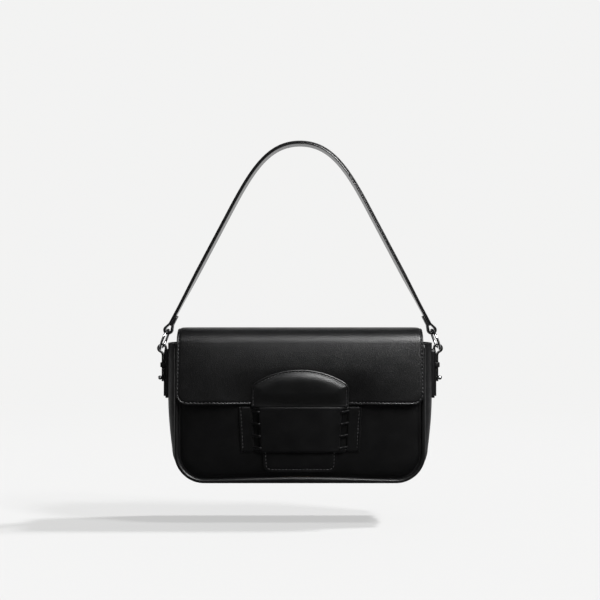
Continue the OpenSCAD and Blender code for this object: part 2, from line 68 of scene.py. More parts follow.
def make_mesh(name, points, faces, edge_from=None):
    """An object from points and four-cornered faces. Its volume, summed over the faces, says
    whether they point outwards; if not, all are turned over. Faces from edge_from on are the
    cut edge and take the second material."""
    points, faces = np.asarray(points, float).reshape(-1, 3), np.asarray(faces, int)
    used, faces = np.unique(faces, return_inverse=True)
    points, faces = points[used], faces.reshape(-1, 4)
    a, b, c, d = (points[faces[:, k]] for k in range(4))
    volume = (np.cross(a, b) * c).sum() + (np.cross(a, c) * d).sum()
    if volume < 0:
        faces = faces[:, ::-1]
    mesh = bpy.data.meshes.new(name)
    mesh.vertices.add(len(points))
    mesh.vertices.foreach_set("co", points.ravel())
    mesh.loops.add(faces.size)
    mesh.loops.foreach_set("vertex_index", faces.ravel())
    mesh.polygons.add(len(faces))
    mesh.polygons.foreach_set("loop_start", np.arange(0, faces.size, 4))
    mesh.polygons.foreach_set("use_smooth", np.ones(len(faces), bool))
    if edge_from is not None:
        index = (np.arange(len(faces)) >= edge_from).astype(int)
        mesh.polygons.foreach_set("material_index", index)
    mesh.update(calc_edges=True)
    mesh.validate()
    piece = bpy.data.objects.new(name, mesh)
    bpy.context.scene.collection.objects.link(piece)
    return piece


def plate(name, front, back, edge=0.0, keep=None):
    """A closed plate between two grids of points: every kept cell is a face of the front and,
    turned over, of the back, and walls join the two along the rim and round each opening. Cut
    edges are rounded by edge, and the large faces keep their own shading."""
    rows, cols = front.shape[:2]
    n = rows * cols
    at = np.arange(n).reshape(rows, cols)
    keep = np.ones((rows - 1, cols - 1), bool) if keep is None else keep
    cells = np.stack([at[:-1, :-1], at[:-1, 1:], at[1:, 1:], at[1:, :-1]], -1)[keep]
    full = np.pad(keep, 1)
    walls = []
    for first, second, inside, outside in (
        (at[:, 1:], at[:, :-1], full[1:, 1:-1], full[:-1, 1:-1]),
        (at[:-1, :], at[1:, :], full[1:-1, 1:], full[1:-1, :-1]),
    ):
        for p, q, here in ((first, second, inside & ~outside), (second, first, outside & ~inside)):
            p, q = p[here], q[here]
            walls.append(np.stack([p, q, q + n, p + n], -1))
    faces = np.concatenate([cells, cells[:, ::-1] + n] + walls)
    points = np.concatenate([front.reshape(-1, 3), back.reshape(-1, 3)])
    piece = make_mesh(name, points, faces, edge_from=2 * len(cells))
    if edge:
        bevel = piece.modifiers.new("rounding", "BEVEL")
        bevel.width, bevel.segments = edge, 3
        bevel.limit_method, bevel.angle_limit = "ANGLE", radians(50)
        shading = piece.modifiers.new("shading", "WEIGHTED_NORMAL")
        shading.keep_sharp = False
        shading.weight = 60
    return piece


def grid(*parts):
    """Coordinates whose shapes fit together, brought to one shape and put side by side."""
    return np.stack(np.broadcast_arrays(*parts), -1)


def spread(lo, hi, near, count, parts=1000):
    """Places between lo and hi: near holds distances from both ends, in thousandths or other
    parts of one, and count even steps lie between."""
    near = np.asarray(near) / parts
    inner = np.linspace(lo + near[-1], hi - near[-1], count + 2)[1:-1]
    return np.concatenate([lo + near, inner, (hi - near)[::-1]])


def ramp(value, start, span):
    """Rises evenly from nothing at the start to one after the span."""
    return ((value - start) / span).clip(0, 1)


def ridge(distance, width):
    """One at no distance; falls on an exponential of minus the distance squared."""
    return np.exp(-((distance / width) ** 2))


def corner_cut(offset, r):
    """How far a round corner stands in, at an offset from its start: r less the root of
    r squared less the part of r that is left, squared."""
    left = np.clip(r - offset, 0, r)
    return r - np.sqrt(r * r - left * left)


def rim_distance(x, z, half_w, low, high, r):
    """Distance inwards from an outline with round lower corners, square at its top."""
    side = np.minimum(half_w - np.abs(x), np.minimum(z - low, high - z))
    cx, cz = np.abs(x) - (half_w - r), (low + r) - z
    return np.where((cx > 0) & (cz > 0), r - np.hypot(cx, cz), side)


def base_lift(x):
    """How far the front's lower rim rises in its middle: a squared parabola over the base."""
    return BASE_LIFT * (1 - (x / BASE_HALF_W) ** 2).clip(0) ** 2


def panel(name, face, high):
    """x is the share u of the outline's half width at height z; y is the panel's face plus a
    low crown, less a dip that falls off with the square of the distance from the rim."""
    near = [0, .4, 1, 1.8, 2.8, 4, 5.5, 7.5, 10, 13, 16, 19, 22, 25.4]
    z = spread(PANEL_LOW, high, near, 24)[:, None]
    half = PANEL_HALF_W - corner_cut(z - PANEL_LOW, PANEL_R) - corner_cut(high - z, PANEL_TOP_R)
    x = half * spread(-1, 1, [0, 3, 8, 15, 24, 36, 55, 80], 26)
    away = rim_distance(x, z, PANEL_HALF_W, PANEL_LOW, high + 0.02, PANEL_R)
    crown = 0.0007 * (1 - (x / PANEL_HALF_W) ** 4) * (1 - ((z - 0.06) / 0.09) ** 4).clip(0)
    dip = 0.0018 * ridge(away, 0.0038) + 0.0009 * ridge(away, 0.013)
    if face < 0:
        z = z + base_lift(x) * (1 - (z - PANEL_LOW) / 0.05).clip(0)
    return plate(name, grid(x, face * (PANEL_Y + crown - dip), z),
                 grid(x, face * (PANEL_Y - PANEL_T - 0.0002), z), 0.0005)


# Materials are built from nodes: each helper adds one node, or a few, to a tree.
def feed(tree, taker, inputs):
    """Gives the inputs of a node their values, or a link where the value is a socket."""
    for key, value in inputs.items():
        if isinstance(value, bpy.types.NodeSocket):
            tree.links.new(value, taker.inputs[key])
        else:
            taker.inputs[key].default_value = value


def node(tree, kind, inputs=None, **settings):
    """A new node of a kind with its own settings and its inputs."""
    made = tree.nodes.new("ShaderNode" + kind)
    for key, value in settings.items():
        setattr(made, key, value)
    feed(tree, made, inputs or {})
    return made


def calc(tree, operation, *values):
    return node(tree, "Math", dict(enumerate(values)), operation=operation).outputs[0]


def noise(tree, place, scale, detail=2.0, roughness=0.5):
    return node(tree, "TexNoise", {"Vector": place, "Scale": scale, "Detail": detail,
                                   "Roughness": roughness}).outputs["Fac"]


def mapped(tree, value, span, ends=(0, 1), way="SMOOTHSTEP"):
    """Carries a value from a span to new ends, on a smooth step or evenly."""
    return node(tree, "MapRange", {
        "Value": value, "From Min": span[0], "From Max": span[1], "To Min": ends[0],
        "To Max": ends[1]}, interpolation_type=way).outputs[0]


def two_tone(tree, share, first, second):
    """The colour that lies at a share between two."""
    return node(tree, "Mix", {"Factor": share, "A": (*first, 1), "B": (*second, 1)},
                data_type="RGBA").outputs["Result"]


def relief(tree, height, strength):
    return node(tree, "Bump", {"Height": height, "Strength": strength,
                               "Distance": 0.0002}).outputs["Normal"]


def new_material(name):
    """A material with its tree and its shader."""
    made = bpy.data.materials.new(name)
    made.use_nodes = True
    return made, made.node_tree, made.node_tree.nodes["Principled BSDF"]


# Calf leather: fine pores, faint creases and soft waves under a satin finish.
def leather_group():
    """Height is the pores' cells, finer grain and long waves, added by share; roughness moves
    between two values with a noise, and the tone with another."""
    group = bpy.data.node_groups.new("calf_grain", "ShaderNodeTree")
    face = group.interface
    for label, value in (("Pores", 900.0), ("Rough low", 0.34), ("Rough high", 0.44),
                         ("Waves", 0.5)):
        socket = face.new_socket(label, in_out="INPUT", socket_type="NodeSocketFloat")
        socket.default_value = value
    for label in ("Tone", "Roughness", "Height"):
        face.new_socket(label, in_out="OUTPUT", socket_type="NodeSocketFloat")
    take = group.nodes.new("NodeGroupInput").outputs
    place = node(group, "TexCoord").outputs["Object"]
    cells = node(group, "TexVoronoi", {"Vector": place, "Scale": take["Pores"]},
                 feature="DISTANCE_TO_EDGE")
    edge = mapped(group, cells.outputs["Distance"], (0, 0.22))

    def times(a, b):
        return calc(group, "MULTIPLY", a, b)

    def plus(a, b):
        return calc(group, "ADD", a, b)

    height = plus(times(edge, 0.45), times(noise(group, place, 2600.0), 0.25))
    waves = times(noise(group, place, 38.0), take["Waves"])
    rough = mapped(group, noise(group, place, 70.0, 4.0, 0.6), (0.35, 0.65),
                   (take["Rough low"], take["Rough high"]), "LINEAR")
    pits = plus(times(edge, -0.05), 0.05)
    feed(group, group.nodes.new("NodeGroupOutput"), {
        "Tone": plus(times(noise(group, place, 24.0, 3.0), 0.6), times(edge, 0.4)),
        "Roughness": plus(rough, pits),
        "Height": plus(height, times(waves, 6.0))})
    return group


grain = leather_group()


def leather(name, tones, rough, pores=900.0, waves=0.5, bump=0.25, specular=0.5):
    """Leather in one finish. Its colour lies between two tones by the grain's own tone; each
    is given by its red and green together, and its blue."""
    made, tree, shader = new_material(name)
    skin = node(tree, "Group", {"Pores": pores, "Rough low": rough[0], "Rough high": rough[1],
                                "Waves": waves}, node_tree=grain).outputs
    dark, light = ((grey, grey, blue) for grey, blue in tones)
    feed(tree, shader, {
        "Base Color": two_tone(tree, skin["Tone"], dark, light),
        "Roughness": skin["Roughness"],
        "Normal": relief(tree, skin["Height"], bump),
        "Specular IOR Level": specular})
    return made


calf = leather("black_calf", ((0.0016, 0.0018), (0.0045, 0.005)), (0.33, 0.4), bump=0.4,
               specular=0.2)
# The cut edges take a tone a few times lighter than the calf: black edge paint with a painted
# highlight along every edge.
cut_edge = leather("edge_paint_and_painted_highlight", ((0.006, 0.0065), (0.012, 0.013)), (0.26, 0.34), pores=2200.0,
                   bump=0.1)


def finish(piece, body, *materials, slot="leather", nodes=()):
    """Gives a piece its materials, the CAD nodes that it stands for and its body."""
    for made in materials:
        piece.data.materials.append(made)
    if nodes:
        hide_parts(*nodes)
    if body:
        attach(piece, body)
    return piece


finish(panel("front_leather", -1, FRONT_H), "root", calf, cut_edge, nodes=("front_panel",))
finish(panel("back_leather", 1, BACK_H), "root", calf, cut_edge, nodes=("back_panel",))

# ---- Gusset ----
# One strip of soft leather runs down one side, under the base and up the other. It swells out
# between the panels and is flat where the bag stands.
GUSSET_H, CORNER_R, GUSSET_T = 0.140, 0.030, 0.002
SWELL, BASE_SWELL, SWELL_FULL, SWELL_POWER = 0.014, 0.0051, 0.085, 2.5
GUSSET_Y = 0.0286
SOFT_BLACK = ((0.0022, 0.0025), (0.006, 0.0065))


def arc(x, z, r, first, last, count):
    """Points of a circle about x and z, between two angles in degrees."""
    a = np.radians(np.linspace(first, last, count))
    return grid(x + r * np.cos(a), z + r * np.sin(a))


def there_and_back(half, count, signs=(-1, 1)):
    """A run that goes straight on from its last point to that point's mirror image, and then
    back along its own mirror image."""
    base = np.linspace(half[-1], half[-1] * signs, count)[1:-1]
    return np.concatenate([half, base, (half * signs)[::-1]])


def gusset_run():
    """Places along the strip as x, z and the outward direction: a line, a quarter circle of the
    panel's corner radius, the base, and the same again in mirror."""
    outward = arc(0, 0, 1, 0, -90, 26)
    corner = np.array([PANEL_HALF_W - PANEL_R, CORNER_R]) + PANEL_R * outward
    side = grid(PANEL_HALF_W, np.linspace(GUSSET_H, CORNER_R, 44)[:-1], 1, 0)
    return there_and_back(np.concatenate([side, np.hstack([corner, outward])]), 30, (-1, 1, -1, 1))


def gusset():
    """A point stands out from the seam by the swell at its height times one less the 2.5th
    power of its share of the half depth, with two long soft folds in the sides."""
    run = gusset_run()[:, None, :]
    y = GUSSET_Y * -np.cos(np.linspace(0, pi, 41))
    x, z, nx, nz = (run[..., k] for k in range(4))
    grow = np.sin(pi / 2 * ramp(z, PANEL_LOW, SWELL_FULL))
    swell = BASE_SWELL + (SWELL - BASE_SWELL) * grow
    share = 1 - np.abs(y / GUSSET_Y) ** SWELL_POWER
    folds = 0.0007 * grow * share * np.cos(y / 0.0085) * np.abs(nx)
    out = swell * share - folds * (z > 0.03)
    outer, inner = (grid(x + nx * off, y, np.maximum(z + nz * off, low))
                    for off, low in ((out, 0), (out - GUSSET_T, GUSSET_T)))
    return plate("gusset_leather", outer, inner, 0.0004)


side_leather = leather("gusset_calf", SOFT_BLACK, (0.36, 0.44), waves=0.8, bump=0.4,
                       specular=0.18)
finish(gusset(), "root", side_leather, cut_edge, nodes=("gusset",))

# ---- Piping ----
# A cord wrapped in thin leather is sewn into the seam round each panel. It wrinkles a little
# round the corners and is tucked in at its two ends.
PIPING_R, PIPING_X, PIPING_Y = 0.0022, 0.1238, 0.0294
WRINKLE, WRINKLE_LEN, TUCK = 0.012, 0.0011, 0.002
CORD_BLACK = ((0.003, 0.0033), (0.008, 0.0085))


def skin_over(name, rings, ends=True):
    """A closed skin over rings of points: neighbouring rings are joined by faces. Each end is
    closed by a last ring drawn in to its own middle, whose points become one; without ends
    the last ring is joined to the first."""
    if ends:
        tips = rings[[0, -1]].mean(1, keepdims=True) + 0 * rings[[0, -1]]
        rings = np.concatenate([tips[:1], rings, tips[1:]])
    at = np.arange(rings[..., 0].size).reshape(rings.shape[:2])
    up = np.roll(at, -1, 0)
    faces = np.stack([at, np.roll(at, -1, 1), np.roll(up, -1, 1), up], -1)
    piece = make_mesh(name, rings, (faces[:-1] if ends else faces).reshape(-1, 4))
    if ends:
        work = bmesh.new()
        work.from_mesh(piece.data)
        bmesh.ops.remove_doubles(work, verts=work.verts, dist=1e-7)
        bmesh.ops.dissolve_degenerate(work, edges=work.edges, dist=1e-7)
        work.to_mesh(piece.data)
        work.free()
    return piece


def unit(vectors):
    return vectors / np.linalg.norm(vectors, axis=1, keepdims=True)


def normals(path):
    """Unit direction to the right of a path of two coordinates, from each point's neighbours."""
    return unit(np.gradient(path, axis=0))[:, ::-1] * [1, -1]


def lengths(path):
    """How far along a path each of its points lies."""
    return np.concatenate([[0], np.cumsum(np.linalg.norm(np.diff(path, axis=0), axis=1))])


def full_turn(count):
    """The angles of even places round a circle."""
    return np.linspace(0, 2 * pi, count + 1)[:-1]


def carried(path, out, off, across):
    """Rings round a path in the XZ plane: each point stands off along the path's normal, and
    across it along Y."""
    return grid(path[:, :1] + out[:, :1] * off, across, path[:, 1:] + out[:, 1:] * off)


def piping(name, y):
    """A circle carried round the panel's outline in the XZ plane; its radius has small ripples
    in the corners and shrinks to nothing over the last millimetres."""
    bend = CORNER_R - PIPING_R
    side = np.linspace(GUSSET_H - 0.0003, CORNER_R, 50)[:-1]
    corner = arc(PIPING_X - bend, CORNER_R, bend, 0, -90, 40)
    path = there_and_back(np.concatenate([grid(PIPING_X, side), corner]), 70)
    length = lengths(path)
    to_end = np.minimum(length, length[-1] - length)
    in_corner = ridge(to_end - (GUSSET_H - CORNER_R) - bend * 0.8, bend * 0.6)
    r = PIPING_R * (1 + WRINKLE * in_corner * np.sin(length / WRINKLE_LEN))
    r = (r * np.sqrt((to_end / TUCK).clip(0.05, 1)))[:, None]
    t = full_turn(16)
    rings = carried(path, normals(path), r * np.cos(t), y + r * np.sin(t))
    if y < 0:
        taller = 1 + base_lift(rings[..., 0]) / (2 * PIPING_R)
        rings[..., 2] *= np.where(rings[..., 2] < 0.006, taller, 1)
    rings[..., 2] = np.maximum(rings[..., 2], 0)
    return skin_over(name, rings)


piping_leather = leather("piping_calf", CORD_BLACK, (0.28, 0.36), pores=1300.0, waves=0.3)
finish(piping("front_cord", -PIPING_Y), "root", piping_leather, nodes=("front_piping",))
finish(piping("back_cord", PIPING_Y), "root", piping_leather, nodes=("back_piping",))

# ---- Lining, slip pocket and base board ----
# A loose bag of twilled cotton hangs inside over a stiff board, with an open patch pocket on
# its back wall.
LINING_HALF_W, LINING_LOW, LINING_R, LINING_Y = 0.1191, 0.0089, 0.0211, 0.0282
LINING_HIGH, CLOTH_T, BOX_CORNER, BOX_STEP = 0.1398, 0.0008, 0.004, 0.009
POCKET_HALF_W, POCKET_LOW, POCKET_H, POCKET_Y = 0.075, 0.034, 0.088, 0.0268


def twill():
    """Cotton twill: fine slanting ridges from a wave, broken by a noise."""
    made, tree, shader = new_material("black_twill")
    place = node(tree, "TexCoord").outputs["Object"]
    slant = node(tree, "Mapping", {"Vector": place, "Rotation": (0.5, 0.4, 0.6)})
    wave = node(tree, "TexWave", {"Vector": slant.outputs["Vector"], "Scale": 420,
                                  "Distortion": 0.8, "Detail Scale": 40})
    yarn = calc(tree, "MULTIPLY", wave.outputs["Fac"], noise(tree, place, 900))
    feed(tree, shader, {
        "Base Color": two_tone(tree, yarn, (0.010, 0.010, 0.011), (0.045, 0.045, 0.048)),
        "Roughness": 0.85, "Sheen Weight": 0.3, "Normal": relief(tree, yarn, 0.4)})
    return made


def box_outline(half_w, half_d):
    """A rectangle with round corners in the XY plane: four quarter circles, with points in
    even steps between those that lie far apart."""
    signs = ((1, 1), (-1, 1), (-1, -1), (1, -1))
    points = np.concatenate([
        arc(sx * (half_w - BOX_CORNER), sy * (half_d - BOX_CORNER), BOX_CORNER, 90 * k,
            90 * k + 90, 10) for k, (sx, sy) in enumerate(signs)])
    whole = []
    for p, q in zip(points, np.roll(points, -1, 0)):
        steps = max(1, int(np.linalg.norm(q - p) / BOX_STEP))
        whole.append(p + (q - p) * np.arange(steps)[:, None] / steps)
    return np.concatenate(whole)


def between(s, places, points):
    """Points at the places s, on straight lines between the given points at their places."""
    return grid(*(np.interp(s, places, column) for column in points.T))


def lining():
    """Level outlines of a box with round lower corners, stacked up to the open mouth; the walls
    wave in by up to a millimetre, and the same outlines drawn in make the inner face."""
    def level(z, inset):
        half = LINING_HALF_W - corner_cut(max(z - LINING_LOW, 0), LINING_R)
        line = box_outline(half - inset, LINING_Y - inset)
        wave = 0.0006 * np.sin(line[:, 0] / 0.011 + z / 0.013) * min(1, (z - LINING_LOW) / 0.03)
        line[:, 1] -= np.sign(line[:, 1]) * np.abs(wave)
        return grid(line[:, 0], line[:, 1], z)

    def fit(line):
        loop = np.vstack([line, line[:1]])
        return between(np.linspace(0, 1, count + 1)[:-1], np.linspace(0, 1, len(loop)), loop)

    count = len(level(0.1, 0))
    bend = LINING_LOW + LINING_R * (1 - np.cos(np.linspace(0.06, pi / 2, 14)))
    heights = np.concatenate([bend, np.linspace(LINING_LOW + LINING_R, LINING_HIGH, 22)[1:]])
    outer = [fit(level(z, 0)) for z in heights]
    inner = [fit(level(max(z, LINING_LOW + CLOTH_T), CLOTH_T)) for z in heights[::-1]]
    floor_out = outer[0] * [1, 0, 1] - [0, 0, 0.00005]
    floor_in = inner[-1] * [1, 0, 1]
    return skin_over("lining_cloth", np.stack([floor_out] + outer + inner + [floor_in]))


cotton = twill()
finish(lining(), "root", cotton, slot="cloth", nodes=("lining",))


def pocket():
    """A flat pocket face that bows off the wall by the root of a half sine over its width times
    the 0.6th power of its height's share, so that it is least at its sewn edges."""
    near = [0, .6, 2, 5]
    z = spread(POCKET_LOW, POCKET_LOW + POCKET_H, near, 24)[:, None]
    x = spread(-POCKET_HALF_W, POCKET_HALF_W, near, 40)
    up = ramp(z, POCKET_LOW, POCKET_H)
    bow = np.sin(pi * (x + POCKET_HALF_W) / (2 * POCKET_HALF_W)) ** 0.5 * up ** 0.6
    hem = 0.0003 * (up > 0.86)
    y = POCKET_Y - 0.0012 * bow
    return plate("pocket_cloth", grid(x, y - CLOTH_T - hem, z), grid(x, y, z))


finish(pocket(), "root", cotton, slot="cloth", nodes=("slip_pocket",))


def board_material():
    """Pressed fibre board: pale brown with darker specks."""
    made, tree, shader = new_material("fibre_board")
    specks = noise(tree, node(tree, "TexCoord").outputs["Object"], 700, 4)
    feed(tree, shader, {
        "Base Color": two_tone(tree, specks, (0.20, 0.15, 0.09), (0.40, 0.32, 0.22)),
        "Roughness": 0.9})
    return made


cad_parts["base_board"].data.materials.clear()
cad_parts["base_board"].data.materials.append(board_material())

# ---- Flap ----
# One piece of calf leather is sewn to the back panel, rolls over the top and hangs down the
# front. A thinner leather lines it, and a row of stitches runs round its free edge.
FLAP_HALF_W, FLAP_TOP, FLAP_EDGE, FLARE = 0.1244, 0.156, 0.0792, 0.0018
FLAP_FRONT, FLAP_BACK, FLAP_T, FLAP_LINING_T = -0.0346, 0.0339, 0.0017, 0.0009
FRONT_ROLL, BACK_ROLL, FLAP_CORNER, SEAM_IN = 0.0155, 0.009, 0.012, 0.0021
ANCHOR_HALF_W, ANCHOR_LOW, LINING_START = 0.1212, 0.118, 0.1432
FULL, LEAN, LEAN_SPAN, TOP_SAG = 0.0015, 0.0052, 0.3, 0.0012


def smooth(share):
    """A smooth step: the share squared times three less twice the share."""
    return share * share * (3 - 2 * share)


def hood(low_back):
    """The flap's bent line as y and z, and its outward direction: up the back, a quarter
    circle, the top, a quarter circle and down the front. The back of the top sags."""
    roll_z, back_y, front_y = FLAP_TOP - BACK_ROLL, FLAP_BACK - BACK_ROLL, FLAP_FRONT + FRONT_ROLL
    if low_back < 0.13:
        back_side = spread(low_back, roll_z, [0, .4, 1, 1.8, 2.6, 3.2, 4], 12)[:-1]
    else:
        back_side = np.linspace(low_back, roll_z, 8)[:-1]
    near = [0, .4, .9, 1.4, 1.8, 2.1, 2.4, 2.8, 3.6, 5, 7, 9, 12]
    front_side = spread(FLAP_EDGE, FLAP_TOP - FRONT_ROLL, near, 26)[::-1][1:]
    path = np.concatenate([
        grid(FLAP_BACK, back_side),
        arc(back_y, roll_z, BACK_ROLL, 0, 90, 22),
        grid(np.linspace(back_y, front_y, 20)[1:-1], FLAP_TOP),
        arc(front_y, FLAP_TOP - FRONT_ROLL, FRONT_ROLL, 90, 180, 22),
        grid(FLAP_FRONT, front_side)])
    path[:, 1] -= TOP_SAG * ramp(path[:, 1], 0.147, 0.008) * ramp(path[:, 0], front_y, 0.04)
    return path, normals(path)


def fullness(x, z):
    """How far the front of the flap swells: a half sine over its height, less at the sides, and
    a lean that grows on a falling exponential, but goes back to nothing over the keeper."""
    share = ramp(FLAP_TOP - z, 0, FLAP_TOP - FLAP_EDGE)
    aside = x / FLAP_HALF_W
    held = np.exp(-((x / 0.068) ** 6)) * smooth(ramp(share, 0.5, 0.5))
    lean = LEAN * (1 - np.exp(-share / LEAN_SPAN)) * (1 - held) * (1 - 0.25 * aside ** 8)
    return FULL * np.sin(pi * share) * (1 - aside ** 6) + lean


def flare(z):
    """How much narrower than its lower edge the flap is at each side, even over its height."""
    return FLARE * ramp(z, FLAP_EDGE, FLAP_TOP - FLAP_EDGE)


def flap_layer(name, depth, thick, low_back, inset):
    """The bent line carried over the width. x is the share u of a half width, which is the
    flared side less a round corner in front and eases to the sewn part's behind. Off the line
    stands the fullness, less a depth, less a squared curl at the sides of the top and, on the
    outside, less ridges along seam and edge."""
    path, out = hood(low_back)
    y, z = path[:, :1], path[:, 1:]
    front_part = (y < 0) & (z < FLAP_TOP - FRONT_ROLL + 1e-6)
    half = FLAP_HALF_W - inset - flare(z)
    half = half - np.where(front_part, corner_cut(z - FLAP_EDGE - inset, FLAP_CORNER), 0)
    back_half = ANCHOR_HALF_W - inset - corner_cut(z - low_back, FLAP_CORNER * 0.6)
    eased = back_half + (half - back_half) * smooth(ramp(z, 0.1415, 0.0125))
    near = [0, .4, .9, 1.4, 1.8, 2.1, 2.4, 2.8, 3.6, 5, 7, 10, 15]
    x = np.where(y > 0, eased, half) * spread(-1, 1, near, 34, parts=124)
    wide = x + np.sign(x) * flare(z)
    away = np.where(front_part, rim_distance(wide, z, FLAP_HALF_W, FLAP_EDGE, 1, FLAP_CORNER),
                    FLAP_HALF_W - np.abs(wide))
    curl = 0.0016 * ((np.abs(x) - 0.114) / 0.010).clip(0) ** 2 * ramp(z, 0.146, 0.007)
    lift = fullness(x, z) * (y < 0) - curl - depth
    if depth == 0:
        lift = lift - 0.0007 * ridge(away - SEAM_IN, 0.0007) - 0.0006 * ridge(away, 0.0009)
    outer, inner = (grid(x, y + out[:, :1] * off, z + out[:, 1:] * off)
                    for off in (lift, lift - thick))
    return plate(name, outer, inner, min(thick, 0.0014) * 0.4)


flap_calf = leather("flap_calf", ((0.0025, 0.0028), (0.007, 0.0075)), (0.31, 0.36), pores=700.0,
                    waves=0.2, bump=0.6)
flap_outer = finish(flap_layer("flap_leather", 0, FLAP_T, ANCHOR_LOW, 0), None, flap_calf, cut_edge,
                    nodes=("flap", "flap_anchor"))
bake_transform(flap_outer)
suede = leather("flap_suede", ((0.010, 0.011), (0.022, 0.023)), (0.75, 0.9), pores=1800.0,
                bump=0.5, specular=0.25)
finish(flap_layer("flap_under", FLAP_T, FLAP_LINING_T, LINING_START, 0.0012), "flap", suede,
       cut_edge, slot="soft_leather", nodes=("flap_lining",))

# Stitches of waxed thread: each is a short capsule that dips into the leather at both ends.
# The thread's grey tone is partly its own dark colour and partly a painted glint on the stitches.
thread = leather("waxed_thread_with_painted_glint", ((0.03, 0.032), (0.075, 0.078)), (0.28, 0.4), pores=3000.0,
                 bump=0.4)
STITCH_PITCH, STITCH_LEN, THREAD_R = 0.0038, 0.0025, 0.00048


def closed_tubes(name, points):
    """Closed tubes from points by tube, ring and place round the ring: faces join neighbouring
    rings, and strips from side to side close each end."""
    count, rings, turn = points.shape[:3]
    at = np.arange(count * rings * turn).reshape(count, rings, turn)
    nxt = np.roll(at, -1, 2)
    walls = np.stack([at[:, :-1], nxt[:, :-1], nxt[:, 1:], at[:, 1:]], -1).reshape(-1, 4)
    caps = [np.stack([end[:, k], end[:, k + 1], end[:, turn - 2 - k], end[:, turn - 1 - k]], -1)
            for end in (at[:, 0], at[:, -1][:, ::-1]) for k in range(turn // 2 - 1)]
    return make_mesh(name, points, np.concatenate([walls] + caps))


def stitches(name, path, normal, body, pitch=STITCH_PITCH, length=STITCH_LEN, radius=THREAD_R,
             sink=0.0):
    """Evenly spaced places on a path of points; at each, rings of six points round an axis along
    the path, whose radius follows a half ellipse and whose middle rises off the surface."""
    far = lengths(path)
    count = max(1, int(far[-1] / pitch))
    s = (np.arange(count) + 0.5) * far[-1] / count
    start, middle, end = (between(s + d, far, path) for d in (-length / 2, 0, length / 2))
    up = unit(between(s, far, np.broadcast_to(np.asarray(normal, float), path.shape)))
    way = unit(end - start)
    side = np.cross(way, up)
    share = np.array([-1, -0.8, -0.35, 0.35, 0.8, 1])[:, None]
    r = radius * np.array([0.05, 0.7, 1, 1, 0.7, 0.05])
    rise = radius * np.array([-0.9, -0.1, 0.35, 0.35, -0.1, -0.9])[:, None] - sink
    t = full_turn(6)[:, None]
    axis = middle[:, None] + way[:, None] * (share * length / 2) + up[:, None] * rise
    around = side[:, None, None] * np.cos(t) + up[:, None, None] * np.sin(t)
    return finish(closed_tubes(name, axis[:, :, None] + around * r[:, None, None]), body, thread)


def flap_seam():
    """The flap's front outline, a little inside its edge, from the roll down one side, round
    the corners and up the other, and the outward direction there."""
    r = FLAP_CORNER - SEAM_IN
    half, low = FLAP_HALF_W - SEAM_IN, FLAP_EDGE + SEAM_IN
    right = np.concatenate([grid(half, np.linspace(0.150, low + r, 60)),
                            arc(half - r, low + r, r, 0, -90, 14)[1:]])
    x, z = there_and_back(right, 60).T
    x = x - np.sign(x) * flare(z)
    a = np.arcsin(ramp(z, FLAP_TOP - FRONT_ROLL, FRONT_ROLL))
    y = FLAP_FRONT + FRONT_ROLL * (1 - np.cos(a)) - fullness(x, z) + 0.0006
    return grid(x, y, z), grid(0, -np.cos(a), np.sin(a))


stitches("flap_stitches", *flap_seam(), "flap")
for label, z in (("upper", 0.1365), ("lower", 0.121)):
    stitches("anchor_stitches_" + label, grid(np.linspace(-0.117, 0.117, 80), FLAP_BACK, z),
             (0, 1, 0), "root")

# ---- Tongue ----
# A padded arch of soft leather is sewn to the flap, and its flat tail goes down behind the
# keeper band. Both have a row of stitches near their edges.
TONGUE_HALF_W, TONGUE_TOP, TONGUE_LOW = 0.0485, 0.1143, 0.0775
ARCH_R, TONGUE_CORNER, TONGUE_SEAM = 0.0845, 0.005, 0.0019
RIM_W, RIM_T, PAD_T, PAD_SOFT = 0.0030, 0.0016, 0.0052, 0.0052
TAIL_FRONT, TAIL_T, TAIL_END, TAIL_CORNER = -0.0344, 0.0024, 0.0118, 0.008
TAIL_TOP_HALF, TAIL_END_HALF, TAIL_SEAM = 0.0385, 0.0365, 0.0026
FINE = dict(pitch=0.0034, length=0.0022, radius=0.0003)


def arch_top(x):
    """Height of the tongue's arch over x: a circle's, with its two corners rounded off."""
    top = TONGUE_TOP - ARCH_R + np.sqrt(ARCH_R ** 2 - x ** 2)
    return top - corner_cut(TONGUE_HALF_W - np.abs(x), TONGUE_CORNER)


def tongue():
    """Thickness by the distance from the arch: a thin rim, then a pad that rises on a falling
    exponential and thins again where it goes under the keeper."""
    near = [0, .4, 1, 1.6, 2, 2.4, 2.8, 3.2, 3.8, 4.6, 5.6, 7]
    x = spread(-TONGUE_HALF_W, TONGUE_HALF_W, near, 40)
    from_top = np.array([8, 7, 6, 5, 4.2, 3.6, 3.2, 2.8, 2.4, 2, 1.6, 1, .4, 0])
    v = np.concatenate([np.linspace(0, 1, 40)[:-1] * 0.78, 1 - from_top / 37])[:, None]
    top = arch_top(x)
    z = TONGUE_LOW + v * (top - TONGUE_LOW)
    slope = x / np.sqrt(ARCH_R ** 2 - x ** 2)
    away = np.minimum(TONGUE_HALF_W - np.abs(x), (top - z) / np.sqrt(1 + slope ** 2))
    pad = 1 - np.exp(-((away - RIM_W).clip(0) / PAD_SOFT) ** 1.15)
    under = 0.35 + 0.65 * smooth(ramp(z, TONGUE_LOW, 0.014))
    seam = 0.0005 * ridge(away - TONGUE_SEAM, 0.0005) + 0.0007 * ridge(away, 0.0008)
    y = FLAP_FRONT - fullness(x, z)
    out = RIM_T - seam + (PAD_T - RIM_T) * pad * under
    return plate("tongue_pad", grid(x, y - out, z), grid(x, y + 0.0001, z), 0.0005)


